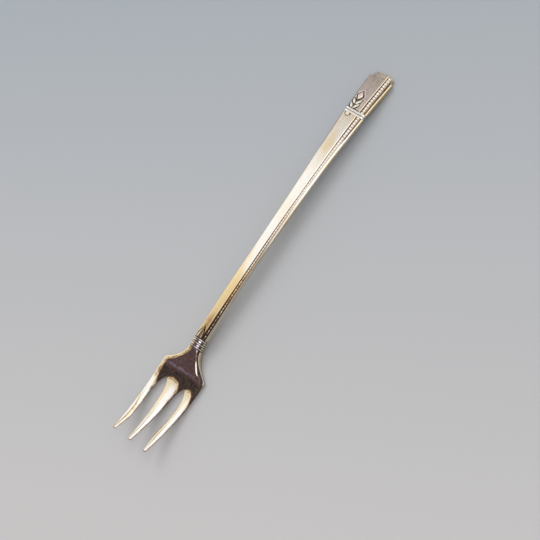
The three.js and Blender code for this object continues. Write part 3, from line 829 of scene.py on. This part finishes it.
bead_tree, given, node, sums, point, split, finish = tree_for(
    "string_beads", "Pitch", "Bead Length", "Height", "Cord Share"
)
line, pitch, bead_length, height, cord_share = given
path = node("MeshToCurve", line)
dots = node("CurveToPoints", path, pitch, mode="LENGTH").node
ball = node("MeshUVSphere", 10, 8, 1.0)
ball_x, _, ball_z = split("Position")
hollow = node("ShaderNodeMapRange", sums("*+", ball_x, 0.45, ball_z), 0.1, 0.55, 1.0, -0.1)
ball = node("StoreNamedAttribute", ball, None, "hollow", hollow)
half = node("InputNamedAttribute", "half_width")
facing = node("FunctionNodeAxesToRotation", dots.outputs[1], (0, 0, 1), primary_axis="Y", secondary_axis="Z")
size = point(half, sums("*", bead_length, 0.5), height)
strung = node("InstanceOnPoints", dots.outputs[0], None, ball, None, None, facing, size)
strand = node("CurvePrimitiveCircle", 8)
cord = node("CurveToMesh", path, strand, sums("*", half, cord_share), True)
cord = node("StoreNamedAttribute", cord, None, "hollow", 0.7)
both = node("JoinGeometry", node("RealizeInstances", strung))
bead_tree.links.new(cord, both.node.inputs[0])
kept = [node("InputNamedAttribute", label) for label in ("hollow", "wear")]
soiled = node("StoreNamedAttribute", both, None, "tarnish", sums("+", *kept))
finish(node("SetShadeSmooth", soiled))


def string_of_beads(name, start, end, silver):
    """Beads along the channel's floor, on a path that keeps half the bead's width at each point."""
    stops = places(start, end, step=0.5)
    points = [at(mix(*channel_sides(s), bead_place(s)), s, handle_top(s) - CHANNEL_DEPTH) for s in stops]
    marks = [(bead_width(s) / 2000, 0.6 * stem_toning(min(s, BAND_START)), bead_wear(s)) for s in stops]
    steps = [(i, i + 1) for i in range(len(stops) - 1)]
    beads = made_piece(name, points, [], marks, None, ("half_width", "toning", "wear"), steps)
    press(beads, bead_tree, silver, dict(pitch=1.1, bead_length=1.4, height=0.38), cord_share=0.55)
    return beads


stem_beads = string_of_beads(
    "stem_beads_metal", STEM_START + BEAD_MARGIN, BAND_START - BEAD_MARGIN,
    old_silver("stem_bead_silver", CHANNEL_BLACK, blotch=0.3, fringe=BEAD_BROWN),
)
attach(stem_beads, "root")
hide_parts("stem_beads")

# ---- Cross band ----
# Two raised rings close together, running over the face and flush with the sides, where the handle's end begins.
# They are struck with the blank and rubbed bright, with a dark line between them.
BAND_FALL, BAND_SILVER, BROWN_BLACK = 0.25, (0.96, 0.92, 0.87), (0.16, 0.088, 0.06)
band = ringed_length(
    "cross_band_metal", BAND_START, END_START, lambda x, edge: BAND_FALL * (x / edge) ** 6,
    lambda s, x, z, part: (0.0, 0.05), old_silver("cross_band_silver", BROWN_BLACK, clean=BAND_SILVER, blotch=0.15),
    dict(half_width=0.44, groove=0.02, swell_between=0.0, side=0.02), rings=2.0, rubbed=0.0, groove_dark=0.65,
)
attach(band, "root")
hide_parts("cross_band")

# ---- Handle end ----
# The flared end of the blank, with the panel, channel and rail carried on and two stepped corners at the tip.
# Its panel is a soft grey, pressed down and dark round the sprig that it carries. Its left edge is darkened as painted
# shade.
STEP_START, LEFT_STEP, RIGHT_STEP = 150.45, 1.25, 0.85
LEFT_CUT, LEFT_CUT_LENGTH, RIGHT_CUT, RIGHT_CUT_LENGTH = 0.6, 0.75, 0.3, 0.6
TIP_BED_END, TIP_BED_DEPTH, BRINK_DEPTH = 151.8, 0.4, 0.1
BRINK = ((151.84, 0.0), (152, 0.0), (152.2, 0.0), (152.33, 0.05), (FORK_LENGTH, 0.18))
BUD_FOOT, BUD_LENGTH, BUD_WIDTH = END_START + 3.7, 3.4, 2.2
PAIR_FEET, SIDE_GAP = (END_START + 0.15, END_START + 1.85), 0.4
LEAFLET_LENGTH, LEAFLET_WIDTH, LEAFLET_TURN, LEFT_LEAFLET = 2.9, 1.02, radians(33), 0.82
SPRIG_GROUND, END_PRESSED = 0.33, 0.13
GREY_SILVER, END_TARNISH_AND_SHADE = (0.8, 0.675, 0.615), (0.075, 0.052, 0.04)
tip_rise = through((-3.7, -0.1), (-2.9, 0.0), (0.9, 0.48), (2.7, 0.42), (3.5, 0.1), (4.8, 0.0))


def lozenge(u):
    return BUD_WIDTH / 2 * max(1 - abs(2 * u - 1) ** 1.35, 0.05)


def leaflet(u):
    return LEAFLET_WIDTH / 2 * max(sin(pi * u ** 0.9), 0.08) ** 0.7


def by_sprig(s, x):
    away = [0.72 * beside(s, x, BUD_FOOT, SPRIG_X, BUD_LENGTH, lozenge)]
    for foot in PAIR_FEET:
        for side in (-1, 1):
            length = LEAFLET_LENGTH * (LEFT_LEAFLET if side < 0 else 1)
            away.append(beside(s, x, foot, SPRIG_X + side * SIDE_GAP / 2, length, leaflet, side * LEAFLET_TURN))
    return bump_at(min(away), 0.0, SPRIG_GROUND)


def end_sunk(s, x):
    return END_PRESSED * by_sprig(s, x)


def end_edges(s):
    """Left and right edges of the narrower tongue past the steps, with its corners cut."""
    left = LEFT_STEP + LEFT_CUT * max((s - FORK_LENGTH + LEFT_CUT_LENGTH) / LEFT_CUT_LENGTH, 0.0)
    right = RIGHT_STEP + RIGHT_CUT * max((s - FORK_LENGTH + RIGHT_CUT_LENGTH) / RIGHT_CUT_LENGTH, 0.0)
    return -handle_edge(s) + left, right_edge(s) - right


def end_ring(s, stepped, depth, eased=0.0):
    left, right = end_edges(s) if stepped else (-handle_edge(s), right_edge(s))
    ring = handle_ring(s, left, right, depth, end_sunk, columns=48, open_side=stepped)
    low = handle_bottom(s)
    return [(x, mix(low, z, 1 - eased / (handle_top(s) - low)), part) for x, z, part in ring]


def end_stain(s, x, z, part):
    if part == "groove":
        right_side = channel_right(s, x)
        return mix(mix(0.8, 0.48, right_side), 0.2, ramp(s, 151.4, TIP_BED_END)), mix(0.6, 0.15, right_side)
    if part in ("lip", "fillet"):
        return 0.05, 0.6
    # The left edge is darkened: painted shade.
    if part == "edge" and x < 0:
        return 0.55, 0.2
    if part == "rail":
        return 0.12, 0.3
    if part == "face":
        # by_edge darkens the panel along its left edge: painted shade.
        by_band, by_edge = 0.9 * fade(s, END_START + 0.1, END_START + 0.4), 0.34 * fade(x + handle_edge(s), 0.35, 0.8)
        return max(by_sprig(s, x), by_band, 0.25 * ramp(s, 145, 150), by_edge), 0.12
    if part == "under":
        return 0.0, 0.35
    return 0.0, 0.8 if x > 0 else 0.5


end_sections = [(s, end_ring(s, False, CHANNEL_DEPTH)) for s in places(END_START, STEP_START, step=0.14)]
end_sections += [(s, end_ring(s, True, TIP_BED_DEPTH)) for s in places(STEP_START, TIP_BED_END, step=0.15)]
end_sections += [(s, end_ring(s, True, BRINK_DEPTH, eased)) for s, eased in BRINK]
end_silver = old_silver("grey_end_silver", END_TARNISH_AND_SHADE, clean=GREY_SILVER)
handle_end = struck_piece("handle_end_metal", end_sections, end_stain, end_silver)
for point in handle_end.data.vertices:
    rise = tip_rise(point.co.x * 1000) * ramp(place_of(point.co.y), STEP_START + 0.3, FORK_LENGTH)
    point.co.y += rise / 1000
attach(handle_end, "root")
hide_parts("handle_end")

# ---- End beads ----
# The bead line carried on past the cross band, in the channel of the handle's end.
# It is struck with the blank, and larger than on the stem.
END_BEADS_STOP = 152
end_bead_silver = old_silver("end_bead_silver", BROWN_BLACK, blotch=0.4)
end_beads = string_of_beads("end_beads_metal", END_START + BEAD_MARGIN, END_BEADS_STOP, end_bead_silver)
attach(end_beads, "root")
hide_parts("end_beads")

# ---- Band bud ----
# A small fluted bud hanging under the cross band, in line with the sprig above it.
# It is struck up from the panel, with dark hollows between its lobes.
BAND_BUD_RISE, LOBE_TOP = 0.34, 0.26


def bud_rise(u, v):
    lobes = 0.72 + 0.28 * cos(v * pi * 3) ** 2
    crown = sqrt(max(1 - abs(v) ** 3, 0.0)) * sqrt(max(1 - (1 - u) ** 4, 0.0))
    return BAND_BUD_RISE * lobes * crown + 0.02


band_bud = relief_piece(
    "band_bud_metal", BAND_BUD_LENGTH, bud_half, bud_rise, BAND_BUD_FOOT, SPRIG_X,
    lambda u, v: (1 - min(bud_rise(u, v) / LOBE_TOP, 1.0), 0.4),
    old_silver("band_bud_silver", BROWN_BLACK, polish=0.22, blotch=0.3), rows=14, columns=18,
)
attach(band_bud, "root")
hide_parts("band_bud")

# ---- Sprig bud ----
# The pointed bud at the top of the sprig, a lozenge in low relief with a soft ridge down its middle.
# It is struck up from the end's panel and rubbed bright on its ridge.
BUD_SILVER, BUD_RIM, BUD_RIDGE = (0.7, 0.605, 0.565), 0.1, 0.26


def lozenge_rise(u, v):
    ridge = BUD_RIDGE * (1 - abs(v) ** 1.5) * (lozenge(u) / (BUD_WIDTH / 2)) ** 0.6
    return (BUD_RIM + ridge) * (1 - abs(v) ** 12) + 0.02


sprig_bud = relief_piece(
    "sprig_bud_metal", BUD_LENGTH, lozenge, lozenge_rise, BUD_FOOT, SPRIG_X,
    lambda u, v: (ramp(abs(v), 0.72, 1.0), 0.15),
    old_silver("sprig_bud_silver", BROWN_BLACK, clean=BUD_SILVER, polish=0.22, blotch=0.25), rows=24, columns=16,
)
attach(sprig_bud, "root")
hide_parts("sprig_bud")

# ---- Sprig leaves ----
# Two pairs of small leaves under the bud, spreading from the sprig's middle line.
# All four are one shape, struck up from the panel, each with a fine groove along its middle.
leaves_tree, given, node, sums, point, split, finish = tree_for(
    "set_leaves", "Stalk X", "First Pair", "Pair Spacing", "Side Gap", "Panel Height", "Panel Slope", "Turn",
    "Left Share",
)
leaf, stalk_x, first_pair, pair_spacing, side_gap, panel_height, panel_slope, turn, left_share = given
index = node("InputIndex")
pair = sums("FLOOR", sums("/", sums("+", index, 0.01), 2.0))
side = sums("-", sums("*", sums("FRACT", sums("/", index, 2.0)), 4.0), 1.0)
spot_x = sums("*+", side, sums("*", side_gap, 0.5), stalk_x)
spot_y = sums("*+", pair, pair_spacing, first_pair)
spots = node("MeshLine", 4, mode="OFFSET")
spots = node("SetPosition", spots, None, point(spot_x, spot_y, 0.0))
turned = sums("*", sums("*", side, turn), -1.0)
leaned = node("FunctionNodeEulerToRotation", point(0.0, 0.0, turned))
shorter = sums("*+", sums("LESS_THAN", side, 0.0), sums("-", left_share, 1.0), 1.0)
trimmed = point(1.0, shorter, 1.0)
spread_leaves = node("InstanceOnPoints", spots, None, leaf, None, None, leaned, trimmed)
flat = node("RealizeInstances", spread_leaves)
lie = sums("*+", sums("-", split("Position")[1], first_pair), panel_slope, panel_height)
finish(node("SetPosition", flat, None, None, point(0.0, 0.0, lie)))


def leaflet_rise(u, v):
    crown = 0.08 + 0.24 * (1 - v * v) - 0.12 * bump_at(v, 0.0, 0.2)
    return crown * max(sin(pi * mix(0.15, 0.85, u)), 0.0) * (1 - abs(v) ** 10) + 0.02


leaves = relief_piece(
    "sprig_leaves_metal", LEAFLET_LENGTH, leaflet, leaflet_rise, FORK_LENGTH / 2, 0.0,
    lambda u, v: (max(ramp(abs(v), 0.8, 1.0), 0.3 * bump_at(v, 0.0, 0.15)), 0.15), rows=14, columns=12,
)
for point in leaves.data.vertices:
    point.co.z -= handle_top(place_of(point.co.y)) / 1000
low_foot, high_foot = PAIR_FEET
leaf_top = high_foot + 2
press(
    leaves, leaves_tree, old_silver("sprig_leaf_silver", BROWN_BLACK, polish=0.22, blotch=0.25),
    dict(
        stalk_x=SPRIG_X, first_pair=low_foot - FORK_LENGTH / 2, pair_spacing=high_foot - low_foot, side_gap=SIDE_GAP,
        panel_height=handle_top(low_foot),
    ),
    panel_slope=(handle_top(leaf_top) - handle_top(low_foot)) / (leaf_top - low_foot),
    turn=LEAFLET_TURN, left_share=LEFT_LEAFLET,
)
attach(leaves, "root")
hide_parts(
    "sprig_lower_left_leaf", "sprig_lower_right_leaf", "sprig_upper_left_leaf", "sprig_upper_right_leaf"
)

# ---- Floor ----
# A plain pale grey sheet of studio paper, laid level under the fork and wider than any view of it.
# Its tone goes from a warm grey near the camera to a bluer, darker grey away from it: painted shade across the paper.
FLOOR_REACH, NEAR_GREY, FAR_GREY = 6, (0.539, 0.524, 0.524), (0.362, 0.393, 0.425)
AWAY, NEAR, FAR = (-0.5, 0.85, 0.0), -0.09, 0.1
corners = [(x * FLOOR_REACH, y * FLOOR_REACH, 0) for x, y in ((-1, -1), (1, -1), (1, 1), (-1, 1))]
paper = bpy.data.materials.new("pale_paper")
paper.use_nodes = True
node, sums, spread, blend = nodes_in(paper.node_tree)
where = node("TexCoord").node.outputs["Object"]
away = node("VectorMath", where, AWAY, operation="DOT_PRODUCT").node.outputs["Value"]
tone = blend(node("MapRange", away, NEAR, FAR), NEAR_GREY, FAR_GREY)
sheet = paper.node_tree.nodes["Principled BSDF"].inputs
paper.node_tree.links.new(tone, sheet["Base Color"])
sheet["Roughness"].default_value, sheet["Specular IOR Level"].default_value = 0.6, 0.2
floor = made_piece("studio_floor", corners, [(0, 1, 2, 3)], [], paper)

# ---- Lamps and world ----
# A broad soft lamp over the handle, one behind it for the tines, one over the head, and a strong one from the left
# that lights the paper and casts the shadow but is kept out of the metal's reflections.
# The room is pale, brighter to its sides and with one dim patch, and its light on the fork is lower than it looks.
LAMP_DISTANCE, ROOM_LIGHT, ROOM_SHADE = 2.0, 0.72, (0.8, 0.8, 0.8)


def stand(name, data, back, distance, target=Vector(), roll=0.0):
    """Stands a lamp or the camera off from a target and facing it, rolled from the fork's length."""
    up = (Vector((0, 1, 0)) - back * back.y).normalized()
    right = up.cross(back)
    across, upright = right * cos(roll) + up * sin(roll), up * cos(roll) - right * sin(roll)
    holder = bpy.data.objects.new(name, data)
    turned = Matrix((across, upright, back)).transposed().to_4x4()
    holder.matrix_world = Matrix.Translation(target + back * distance) @ turned
    scene.collection.objects.link(holder)
    return holder


for name, towards, across, along, brightness in (
    ("broad_lamp", (-0.12, 0.1, 0.98), 2.1, 0.6, 0.4),
    ("tine_lamp", (0.08, 0.45, 0.89), 1.3, 1.3, 0.72),
    ("head_lamp", (0.13, -0.28, 0.95), 1.4, 0.8, 0.6),
    ("side_lamp", (-0.55, 0.33, 0.77), 1.1, 1.1, 3.9),
):
    lamp = bpy.data.lights.new(name, "AREA")
    lamp.shape, lamp.size, lamp.size_y = "RECTANGLE", across, along
    lamp.energy = brightness * pi * across * along
    stand(name, lamp, Vector(towards).normalized(), LAMP_DISTANCE).visible_glossy = name != "side_lamp"

world = bpy.data.worlds.new("pale_room")
world.use_nodes = True
scene.world = world
node, sums, spread, blend = nodes_in(world.node_tree)
sight, shade = node("TexCoord"), ROOM_SHADE
for direction, begin, full, level in (
    ((-1, 0, 0), 0.3, 0.8, 1.2),
    ((1, 0, 0), 0.2, 0.7, 1.0),
    ((-0.43, 0.56, 0.708), 0.96, 0.99, 0.36),
):
    turn = node("VectorMath", sight, direction, operation="DOT_PRODUCT").node.outputs["Value"]
    shade = blend(spread(turn, begin, full), shade, (level, level, level))
ray = node("LightPath").node.outputs
seen = sums("MAXIMUM", ray["Is Camera Ray"], ray["Is Glossy Ray"])
backdrop = world.node_tree.nodes["Background"].inputs
world.node_tree.links.new(shade, backdrop["Color"])
world.node_tree.links.new(node("MapRange", seen, 0.0, 1.0, ROOM_LIGHT, 1.0), backdrop["Strength"])

# ---- Camera ----
# A long lens about 0.4 m away, looking down on the fork from its right side.
# It is turned so that the fork lies across the picture from lower left to upper right.
SIDEWAYS, LEAN, ROLL = radians(25.3243), radians(-2.0758), radians(34.0714)
TARGET, DISTANCE = Vector((6.4461, -2.0475, 3.0)) / 1000, 0.4044669
SENSOR, PICTURE, FOCUS_PIXELS = 36, 540, 1188.3492
back = Vector((sin(SIDEWAYS) * cos(LEAN), sin(LEAN), cos(SIDEWAYS) * cos(LEAN)))
camera_data = bpy.data.cameras.new("photo_camera")
camera_data.lens, camera_data.sensor_width, camera_data.clip_start = SENSOR * FOCUS_PIXELS / PICTURE, SENSOR, 0.01
scene.camera = stand("photo_camera", camera_data, back, DISTANCE, TARGET, ROLL)
scene.view_settings.view_transform = "Standard"
